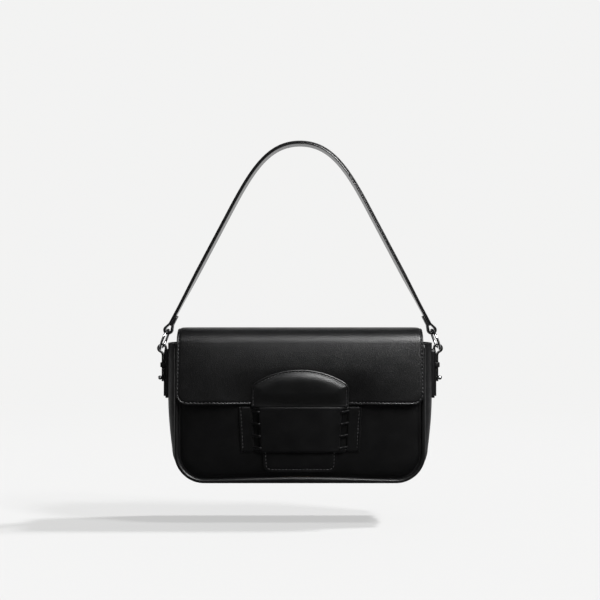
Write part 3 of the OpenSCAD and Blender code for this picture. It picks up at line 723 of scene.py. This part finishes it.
def arch_seam():
    """The arch and its two short sides, a little inside the tongue's edge."""
    w = TONGUE_HALF_W - TONGUE_SEAM
    x = np.linspace(-w, w, 90)
    top = arch_top(x / w * TONGUE_HALF_W) - TONGUE_SEAM * np.sqrt(1 + (x / 0.07) ** 2)
    x, z = np.concatenate([grid(-w, np.linspace(TONGUE_LOW, top[0], 19)[:-1]), grid(x, top),
                           grid(w, np.linspace(top[-1], TONGUE_LOW, 19)[1:])]).T
    return grid(x, FLAP_FRONT - fullness(x, z) - RIM_T + 0.0003, z)


soft_calf = leather("tongue_calf", SOFT_BLACK, (0.32, 0.39), pores=1000.0, bump=0.4,
                    specular=0.55)
pad = finish(tongue(), "flap", soft_calf, cut_edge, slot="soft_leather", nodes=("tongue",))
stitches("tongue_stitches", arch_seam(), (0, -1, 0), "flap", **FINE)


def tail():
    """A flat strip whose half width narrows evenly to its end, with two round end corners. Its
    face is a little full, and a groove follows the seam."""
    near = [0, .4, 1, 1.6, 2.2, 2.6, 3, 3.4, 4, 5, 6.5, 8]
    z = spread(TAIL_END, TONGUE_LOW - 0.0002, near, 26)[:, None]
    share = (z - TAIL_END) / (TONGUE_LOW - TAIL_END)
    half = TAIL_END_HALF + (TAIL_TOP_HALF - TAIL_END_HALF) * share
    u = spread(-1, 1, [0, .4, 1, 1.6, 2.2, 2.6, 3, 3.4, 4, 5.5], 18, parts=36.5)
    x = (half - corner_cut(z - TAIL_END, TAIL_CORNER)) * u
    away = rim_distance(x / half * TAIL_END_HALF, z, TAIL_END_HALF, TAIL_END, 1, TAIL_CORNER)
    full = 0.0005 * (1 - ridge(away, 0.005)) - 0.0003 * ridge(away - TAIL_SEAM, 0.0006)
    return plate("tail_leather", grid(x, TAIL_FRONT + 0.0005 - full, z),
                 grid(x, TAIL_FRONT + TAIL_T, z), 0.0006)


def tail_seam():
    """The tail's outline, a little inside its edge."""
    r, low, end = TAIL_CORNER - TAIL_SEAM, TAIL_END + TAIL_SEAM, TAIL_END_HALF - TAIL_SEAM
    right = np.concatenate([
        np.linspace((TAIL_TOP_HALF - TAIL_SEAM, TONGUE_LOW), (end, low + r), 40),
        arc(end - r, low + r, r, 0, -90, 12)[1:]])
    x, z = there_and_back(right, 30).T
    return grid(x, TAIL_FRONT + 0.0004, z)


finish(tail(), "flap", calf, cut_edge, nodes=("tongue_tail",))
stitches("tail_stitches", tail_seam(), (0, -1, 0), "flap", **FINE)

# ---- Keeper band ----
# A wide band of calf leather is sewn to the front panel at both ends and stands off it in the
# middle, where the tail passes. A leaning slot on each side is crossed by leather laces.
KEEPER_LOW, KEEPER_HIGH, KEEPER_HALF_W, KEEPER_LOW_HALF_W = 0.0315, 0.077, 0.062, 0.0595
BRIDGE_HALF, WING_X, BRIDGE_Y, WING_Y, BOW = 0.040, 0.0475, 0.0348, 0.0311, 0.0012
SLOT_X, SLOT_W, SLOT_H, SLOT_LEAN = 0.04375, 0.0065, 0.0395, np.tan(radians(3))
KEEPER_T, KEEPER_SEAM, LACE_PITCH = 0.002, 0.0028, 0.012
KEEPER_MID = (KEEPER_LOW + KEEPER_HIGH) / 2
SIDES = ((-1, "left"), (1, "right"))


def keeper_depth(x):
    """How far the band's inner face stands in front of the middle plane: flat wings, then a
    smooth step up to the bridge, which bows out by a parabola."""
    step = smooth(ramp(WING_X - np.abs(x), 0, WING_X - BRIDGE_HALF))
    return WING_Y + (BRIDGE_Y - WING_Y) * step + BOW * (1 - (x / BRIDGE_HALF) ** 2).clip(0)


def keeper_taper(z):
    """How far the band's ends stand out of the upright at a height, nothing at its top."""
    return (KEEPER_HALF_W - KEEPER_LOW_HALF_W) * (z - KEEPER_HIGH) / (KEEPER_HIGH - KEEPER_LOW)


def keeper():
    """The band over x and z. Columns near each slot lean with it, so that the slot's sides
    follow the grid; its cells are left out."""
    inner, outer = SLOT_X - SLOT_W / 2, SLOT_X + SLOT_W / 2
    low, high = KEEPER_MID - SLOT_H / 2, KEEPER_MID + SLOT_H / 2
    near_slot = np.array([-1.6, -1, -0.5, 0]) / 1e3
    base = np.concatenate([
        np.linspace(0, inner - 0.0022, 20), inner + near_slot,
        inner + SLOT_W * np.array([0.2, 0.4, 0.6, 0.8]), outer - near_slot[::-1],
        np.linspace(outer + 0.0026, KEEPER_HALF_W - 0.004, 6),
        KEEPER_HALF_W - np.array([3.4, 3, 2.6, 2.2, 1.6, 1, .4, 0]) / 1e3])
    rows = np.concatenate([spread(KEEPER_LOW, low, [0, .4, 1], 1),
                           np.linspace(low, high, 40)[1:-1],
                           spread(high, KEEPER_HIGH, [0, .4, 1], 1)])
    x, z = np.meshgrid(np.concatenate([-base[::-1], base[1:]]), rows)
    far = np.abs(x)
    outer_share = ramp(far, outer, KEEPER_HALF_W - outer)
    inner_share = (1 - far / inner).clip(0, 1)
    lean = SLOT_LEAN * (z - KEEPER_MID) * (1 - inner_share) * (1 - outer_share)
    rim = np.minimum(KEEPER_HALF_W - far, np.minimum(z - KEEPER_LOW, KEEPER_HIGH - z))
    slot_gap = (np.abs(far - SLOT_X) - SLOT_W / 2).clip(0)
    soft = 0.0004 * (ridge(rim, 0.0009) + ridge(slot_gap, 0.0009)
                     + ridge(KEEPER_HALF_W - far - KEEPER_SEAM, 0.0005))
    depth = keeper_depth(x)
    across = (far[1:, 1:] + far[1:, :-1]) / 2
    height = (z[1:, 1:] + z[:-1, 1:]) / 2
    hole = (np.abs(across - SLOT_X) < SLOT_W / 2) & (np.abs(height - KEEPER_MID) < SLOT_H / 2)
    x = x + np.sign(x) * (lean + keeper_taper(z) * outer_share)
    return plate("keeper_leather", grid(x, soft - depth - KEEPER_T, z), grid(x, -depth, z),
                 0.0004, keep=~hole)


finish(keeper(), "root", calf, cut_edge, nodes=("keeper_band",))


def lace_bars():
    """Flat thongs over each slot: an oval section carried across along the sloping side, whose
    ends dive into the slot's sides on the sixth power of their share."""
    share, t = np.linspace(-1, 1, 13)[:, None], full_turn(12)
    u = SLOT_X + share * (SLOT_W / 2 + 0.0014)
    y = -keeper_depth(u) - KEEPER_T - 0.0008 + 0.0012 * share ** 6
    y = y - 0.0006 * np.sin(t) * (1 - 0.5 * share ** 6)
    rises = LACE_PITCH * (np.arange(4) - 1.5)
    return closed_tubes("keeper_laces", np.stack([
        grid(side * (u + SLOT_LEAN * rise), y,
             KEEPER_MID + rise + 0.0006 * share + 0.0012 * np.cos(t))
        for side in (-1, 1) for rise in rises]))


lace_leather = leather("lace_calf", SOFT_BLACK, (0.36, 0.44), pores=1500.0, specular=0.2)
finish(lace_bars(), "root", lace_leather, slot="soft_leather", nodes=("keeper_lacing",))
z = np.linspace(KEEPER_LOW + 0.003, KEEPER_HIGH - 0.003, 20)
edge = KEEPER_HALF_W - KEEPER_SEAM + keeper_taper(z)
for side, label in SIDES:
    stitches("keeper_stitches_" + label, grid(side * edge, 0.0003 - WING_Y - KEEPER_T, z),
             (0, -1, 0), "root", **FINE)

# ---- Strap ----
# Two layers of leather sewn along both edges. The outer one folds round a ring at each end
# and is sewn back on the inner side.
STRAP_HALF_W, STRAP_T, STRAP_LINING_T, BAND_EDGE = 0.0065, 0.0017, 0.0015, 0.0004
APEX_Z, SHOULDER, FOOT = 0.3438, np.array([0.071, 0.2752]), np.array([0.13610, 0.15238])
LEG_A = radians(27.925)
LEG_UP = np.array([-np.sin(LEG_A), np.cos(LEG_A)])
LEG_OUT = np.array([np.cos(LEG_A), np.sin(LEG_A)])
LOOP_R, LOOP_UP, NECK_LEN, FOLD_LEN = 0.0028, 0.0011, 0.0066, 0.0165
TWIST, BULGE, SEAM_Y = radians(7.5), 0.35, 0.0046


def strap_half():
    """The strap's line from its top to the foot of a leg, between its two layers: a cubic
    through the arch, then a straight leg."""
    t = np.linspace(0, 1, 60)[:, None]
    p0, p1 = np.array([0, APEX_Z]), np.array([SHOULDER[0] * 0.45, APEX_Z])
    p2, p3 = SHOULDER + LEG_UP * 0.0703 * 0.68, SHOULDER
    arch = (1 - t) ** 3 * p0 + 3 * (1 - t) ** 2 * t * p1 + 3 * (1 - t) * t ** 2 * p2 + t ** 3 * p3
    return np.concatenate([arch, np.linspace(p3, FOOT + (NECK_LEN + LOOP_UP) * LEG_UP, 50)[1:]])


def strap_twist(path):
    """The turn of the strap's section about its line: a smooth step from nothing just above
    the fold to the full turn further up, so that the lining shows a little from the front."""
    return TWIST * smooth(ramp((path - FOOT) @ LEG_UP, 0.022, 0.05))[:, None]


def strap_loop():
    """From the leg's end round the ring and up to the tip of the fold, along the middle of the
    outer layer, in the leg's own frame."""
    fold_x = -STRAP_LINING_T - STRAP_T / 2
    ring = arc(-STRAP_LINING_T / 2, 0, LOOP_R + STRAP_T / 2, 12, -192, 46)
    local = np.concatenate([
        np.linspace((STRAP_T / 2, NECK_LEN), ring[0], 10)[1:-1], ring,
        np.linspace(ring[-1], (fold_x, NECK_LEN), 10)[1:],
        grid(fold_x, np.linspace(NECK_LEN, FOLD_LEN, 5)[1:])])
    return FOOT + local[:, :1] * LEG_OUT + (local[:, 1:] + LOOP_UP) * LEG_UP


def band(name, path, thick, half_w, crown=0.0, twist=0.0, pivot=0.0, plump=1.0):
    """A flat section with round edges carried along a path in the XZ plane, closed at both ends.
    Both flat faces rise by a crown, which is a parabola. At each point of the path the section's
    thickness is multiplied by plump, and it is turned by the twist about a pivot on the
    normal: y is y cos + n sin, and n is the pivot plus n cos - y sin."""
    flat = half_w - BAND_EDGE
    upper = there_and_back(arc(flat, thick / 2 - BAND_EDGE, BAND_EDGE, 0, 90, 4), 10)
    upper[:, 1] += crown * (1 - (upper[:, 0] / flat) ** 2).clip(0)
    y, n = there_and_back(upper, 2, (1, -1)).T
    n, c, w = n * plump - pivot, np.cos(twist), np.sin(twist)
    return skin_over(name, carried(path, -normals(path), pivot + n * c - y * w, y * c + n * w))


def both_sides(half, signs=(-1, 1)):
    """A run from the middle to the right end, put after its mirror image."""
    return np.concatenate([(half * signs)[::-1][:-1], half])


half, loop = strap_half(), strap_loop()
out, turn = -normals(half), strap_twist(half)
from_end = np.linspace(-1, 1, len(loop))[:, None]
plump = both_sides(np.concatenate([1 + 0 * turn, 1 + BULGE * (1 - from_end ** 2)]), 1)
outer_turn = both_sides(np.concatenate([turn, 0 * from_end]), 1)
outer_path = both_sides(np.concatenate([half + out * STRAP_T / 2, loop]))
to_neck = FOOT + LEG_UP * (LOOP_UP + NECK_LEN - np.array([[0.0008], [0.0016]]))
inner_out = np.concatenate([out, out[-1:], out[-1:]]) * STRAP_LINING_T / 2
inner_path = both_sides(np.concatenate([half, to_neck]) - inner_out)
inner_turn = both_sides(np.concatenate([turn, [[0], [0]]]), 1)
strap_calf = leather("strap_calf", CORD_BLACK, (0.34, 0.42), pores=1100.0, waves=0.3, bump=0.12,
                     specular=0.35)
# The lining's tone, lighter than the outer layer's, is painted light on the strap's underside,
# which shows a little from the front.
under_calf = leather("strap_under_calf_with_painted_light", ((0.008, 0.0085), (0.018, 0.019)), (0.15, 0.2),
                     pores=1100.0, waves=0.3, bump=0.1, specular=0.9)
finish(band("strap_leather", outer_path, STRAP_T, STRAP_HALF_W, crown=0.0002, twist=outer_turn,
            pivot=-STRAP_T / 2, plump=plump), "strap", strap_calf, nodes=("strap",))
finish(band("strap_under", inner_path, STRAP_LINING_T, STRAP_HALF_W - 0.0002, twist=inner_turn,
            pivot=STRAP_LINING_T / 2), "strap", under_calf, slot="soft_leather",
       nodes=("strap_lining",))
half, out, c, w = half[:-5], out[:-5], np.cos(turn[:-5]), np.sin(turn[:-5])
for face, offset, side in (("outer", STRAP_T + 0.0001, 1), ("inner", -STRAP_LINING_T, -1)):
    for row, y in (("front", -SEAM_Y), ("back", SEAM_Y)):
        run = half + out * (offset * c - y * w)
        line = np.hstack([run[:, :1], y * c + offset * w, run[:, 1:]])
        up = np.hstack([out[:, :1] * c, w, out[:, 1:] * c]) * side
        stitches(f"strap_stitches_{face}_{row}", both_sides(line, (-1, 1, 1)),
                 both_sides(up, (-1, 1, 1)), "strap", pitch=0.0034, length=0.0026,
                 radius=0.00022, sink=0.00025)

# ---- Rings ----
# Round rings of polished, chromed wire. Each leans in towards the bag and hangs in a side tab.
RING_R, WIRE_R, RING_X, RING_Z = 0.0105, 0.0012, 0.138867, 0.1433
RING_TILT, RING_YAW = radians(22), radians(5)


def turned(a, b, angle):
    """Two coordinates turned: a cos - b sin, and a sin + b cos."""
    c, w = np.cos(angle), np.sin(angle)
    return a * c - b * w, a * w + b * c


def ring(name, side):
    """A torus: a circle of the wire's radius round a circle of the ring's radius, turned about
    the upright axis, leaned about the depth axis, then mirrored for the left."""
    s, t = full_turn(96)[:, None], full_turn(24)
    r = RING_R + WIRE_R * np.cos(t)
    x, y = turned(WIRE_R * np.sin(t), r * np.cos(s), RING_YAW)
    x, z = turned(x, r * np.sin(s), RING_TILT)
    return skin_over(name, grid(side * (RING_X + x), y, RING_Z + z), ends=False)


def chrome_material():
    """Polished chrome with hair-fine scratches: roughness between two low values."""
    made, tree, shader = new_material("polished_chrome")
    place = node(tree, "TexCoord").outputs["Object"]
    stretch = node(tree, "Mapping", {"Vector": place, "Scale": (1, 6, 1)})
    hair = noise(tree, stretch.outputs["Vector"], 900, 5)
    feed(tree, shader, {
        "Base Color": two_tone(tree, hair, (0.86, 0.87, 0.88), (0.93, 0.94, 0.95)),
        "Roughness": mapped(tree, hair, (0, 1), (0.14, 0.2), "LINEAR"), "Metallic": 1})
    return made


chrome = chrome_material()
for side, label in SIDES:
    finish(ring("ring_wire_" + label, side), "strap", chrome, slot="chrome",
           nodes=("ring_" + label,))

# ---- Side tabs ----
# On each side a patch is sewn to the gusset. A strip of leather is sewn to it, goes up round
# the ring and comes down through a small keeper to a ball stud.
PATCH_X, PATCH_T, PATCH_HALF_W, PATCH_R = 0.13545, 0.0022, 0.008, 0.003
PATCH_LOW, PATCH_HIGH = 0.0835, 0.1335
TAB_X0, TAB_T, TAB_X2, TAB_X3, TAB_HALF_W = 0.1377, 0.0016, 0.1398, 0.1414, 0.005
TAB_LOW, TAB_TURN, TAB_END, TAB_LOOP_R = 0.0855, 0.1285, 0.1005, 0.0031
TAB_LOOP = (0.1414, 0.1342)
TAB_NECK, TAB_KEEPER_Z, TAB_KEEPER_OFF, TAB_KEEPER_R = 0.1272, 0.1173, 0.00085, 0.0016
STUD_Z, STUD_R, STUD_NECK_R, STUD_FLANGE_R, STUD_OUT = 0.104, 0.0023, 0.0011, 0.003, 0.002


def patch(name, side):
    """A thin plate with four round corners that follows the gusset's curve across its width."""
    z = spread(PATCH_LOW, PATCH_HIGH, [0, .3, .7, 1.2, 2, 3], 16)[:, None]
    half = PATCH_HALF_W - corner_cut(z - PATCH_LOW, PATCH_R) - corner_cut(PATCH_HIGH - z, PATCH_R)
    y = half * spread(-1, 1, [0, 60, 140, 250], 7)
    x = PATCH_X - SWELL * np.abs(y / GUSSET_Y) ** SWELL_POWER
    return plate(name, grid(side * (x + PATCH_T), y, z), grid(side * (x - 0.0003), y, z), 0.0003)


def tab_path():
    """Up along the inner layer, round the ring in an arc, and down the outer layer, along the
    middle of the strip."""
    inner, outer = TAB_X0 + TAB_T / 2, TAB_X2 + TAB_T / 2
    loop = arc(*TAB_LOOP, TAB_LOOP_R + TAB_T / 2, 188, -68, 46)
    t = np.linspace(0, 1, 12)[1:-1, None]
    bend, end = np.array([outer, TAB_NECK + 0.0024]), np.array([outer, TAB_NECK - 0.001])
    return np.concatenate([
        grid(inner, np.linspace(TAB_LOW, TAB_TURN, 26)), loop,
        (1 - t) ** 2 * loop[-1] + 2 * t * (1 - t) * bend + t ** 2 * end,
        grid(outer, np.linspace(end[1], TAB_END, 16))])


def tab_keeper(name, side):
    """A narrow loop of leather round both layers of the tab: a flat section carried round three
    sides of a rectangle with round corners, in plan."""
    half, high, e = TAB_HALF_W + TAB_KEEPER_OFF, TAB_X3 + TAB_KEEPER_OFF, TAB_KEEPER_R
    line = there_and_back(np.concatenate([grid(np.linspace(TAB_X0, high - e, 6)[:-1], half),
                                          arc(high - e, half - e, e, 90, 0, 8)]), 2, (1, -1))
    c, w = np.cos(full_turn(16)), np.sin(full_turn(16))
    n, v = 0.0006 * np.sign(c) * np.abs(c) ** 0.5, 0.0025 * np.sign(w) * np.abs(w) ** 0.4
    rings = carried(line, -normals(line), n, TAB_KEEPER_Z + v)[..., [0, 2, 1]] * [side, 1, 1]
    return skin_over(name, rings)


def stud(name, side):
    """A turned shape: radii along the axis make the shank, the flange, the neck and the ball."""
    ball_x, foot = TAB_X3 + STUD_OUT, TAB_X0 + TAB_T
    flange, neck = STUD_FLANGE_R, STUD_NECK_R
    profile = np.concatenate([
        [[foot, flange], [foot + 0.0005, flange], [foot + 0.0005, neck], [ball_x - 0.0021, neck]],
        arc(ball_x, 0, STUD_R, 150, 0, 16)])
    profile[-1, 1] = 0.00002
    x, r = profile[:, :1], profile[:, 1:]
    t = full_turn(32)
    return skin_over(name, grid(side * x, r * np.cos(t), STUD_Z + r * np.sin(t)))


path = tab_path()
for side, label in SIDES:
    finish(patch("patch_leather_" + label, side), "root", calf, cut_edge,
           nodes=("tab_patch_" + label,))
    finish(band("tab_leather_" + label, path * [side, 1], TAB_T, TAB_HALF_W), "root", strap_calf,
           nodes=("side_tab_" + label,))
    finish(tab_keeper("tab_loop_" + label, side), "root", strap_calf,
           nodes=("tab_keeper_" + label,))
    finish(stud("ball_stud_" + label, side), "root", chrome, slot="chrome",
           nodes=("stud_" + label,))
    for row, y in (("front", -0.0036), ("back", 0.0036)):
        line = grid(side * (TAB_X0 + TAB_T), y, np.linspace(0.0865, 0.0985, 10))
        stitches(f"tab_stitches_{row}_{label}", line, (side, 0, 0), "root", pitch=0.003,
                 length=0.0024, radius=0.0003, sink=0.00027)

# ---- Floor, background and lamps ----
# The bag hangs a little above a pale floor in a white studio, under a soft box and two suns.
FLOOR_Z = -0.042
bpy.ops.mesh.primitive_circle_add(vertices=96, radius=6, fill_type="NGON", location=(0, 0, FLOOR_Z))
floor = bpy.context.object
floor.name = "floor"
WHITE, PALE = 0.895, (1, 1, 0.995, 1)


def sight(tree):
    """The kinds of rays, and one for what the camera sees itself or through something."""
    rays = node(tree, "LightPath").outputs
    return rays, calc(tree, "MAXIMUM", rays["Is Camera Ray"], rays["Is Transmission Ray"])


def pale_floor():
    """Seen directly: a plain pale glow plus a little real light, so that shadows show near the
    bag. In a mirror it is pale behind the bag and dim in front; for other light it is matt."""
    made, tree, _ = new_material("pale_floor")
    tree.nodes.clear()
    rays, seen = sight(tree)
    place = node(tree, "TexCoord").outputs["Object"]
    far = node(tree, "VectorMath", {0: place}, operation="LENGTH").outputs["Value"]
    fade = mapped(tree, far, (0.5, 1.5), (0.16, 0.0))
    shade = node(tree, "CombineColor", {0: fade, 1: fade, 2: fade}).outputs[0]
    matt = node(tree, "BsdfDiffuse", {"Color": shade}).outputs[0]
    less = calc(tree, "MULTIPLY_ADD", fade, -2.3, WHITE)
    glow = node(tree, "Emission", {"Color": PALE, "Strength": less}).outputs[0]
    both = node(tree, "AddShader", {0: matt, 1: glow}).outputs[0]
    plain = node(tree, "BsdfDiffuse", {"Color": (0.35, 0.35, 0.35, 1)}).outputs[0]
    depth = node(tree, "SeparateXYZ", {0: place}).outputs["Y"]
    behind = mapped(tree, depth, (-0.1, 0.9), (0.03, WHITE))
    mirrored = node(tree, "Emission", {"Strength": behind}).outputs[0]
    unseen = node(tree, "MixShader", {0: rays["Is Glossy Ray"], 1: plain, 2: mirrored})
    mix = node(tree, "MixShader", {0: seen, 1: unseen.outputs[0], 2: both}).outputs[0]
    node(tree, "OutputMaterial", {"Surface": mix})
    return made


floor.data.materials.append(pale_floor())

world = bpy.data.worlds.new("studio")
bpy.context.scene.world = world
world.use_nodes = True
tree = world.node_tree
tree.nodes.clear()
rays, seen = sight(tree)
# Seen in gloss, the studio is white behind the bag, and dark in front of it and at both sides.
way = node(tree, "SeparateXYZ", {0: node(tree, "TexCoord").outputs["Generated"]}).outputs
depth = mapped(tree, way["Y"], (0.5, 0.8), (0.02, WHITE))
flags = mapped(tree, calc(tree, "ABSOLUTE", way["X"]), (0.2, 0.6), (1, 0.03))
card = calc(tree, "MULTIPLY", depth, flags)
gloss = node(tree, "Mix", {"Factor": rays["Is Glossy Ray"], "A": 0.25, "B": card}).outputs[0]
level = node(tree, "Mix", {"Factor": seen, "A": gloss, "B": WHITE}).outputs[0]
sky = node(tree, "Background", {"Color": PALE, "Strength": level}).outputs[0]
node(tree, "OutputWorld", {"Surface": sky})


def soft_box(name, place, target, size, power):
    """A rectangular lamp that faces a point."""
    lamp = bpy.data.lights.new(name, "AREA")
    lamp.shape, lamp.size, lamp.size_y, lamp.energy = "RECTANGLE", size[0], size[1], power
    box = bpy.data.objects.new(name, lamp)
    aim = np.array(target, float) - np.array(place, float)
    box.location = place
    box.rotation_euler = Vector(aim).to_track_quat("-Z", "Y").to_euler()
    bpy.context.scene.collection.objects.link(box)
    return box


front_box = soft_box("front_box", (0.85, -1.35, 1.4), (0, 0, 0.12), (0.9, 0.85), 66)
front_box.visible_diffuse = False
soft_box("left_strip", (-1.15, -0.5, 0.3), (0, 0, 0.12), (0.12, 0.9), 0.6)
soft_box("right_strip", (1.15, -0.5, 0.3), (0, 0, 0.12), (0.12, 0.9), 0.6)
for name, toward, energy, angle in (("key_lamp", (0.79, 0.15, 1.0), 5.6, 5),
                                    ("fill_lamp", (0.8, -0.37, 1.0), 3.1, 10)):
    lamp = bpy.data.objects.new(name, bpy.data.lights.new(name, "SUN"))
    lamp.data.energy, lamp.data.angle = energy, radians(angle)
    lamp.rotation_euler = Vector(toward).to_track_quat("Z", "Y").to_euler()
    lamp.visible_glossy = False
    bpy.context.scene.collection.objects.link(lamp)
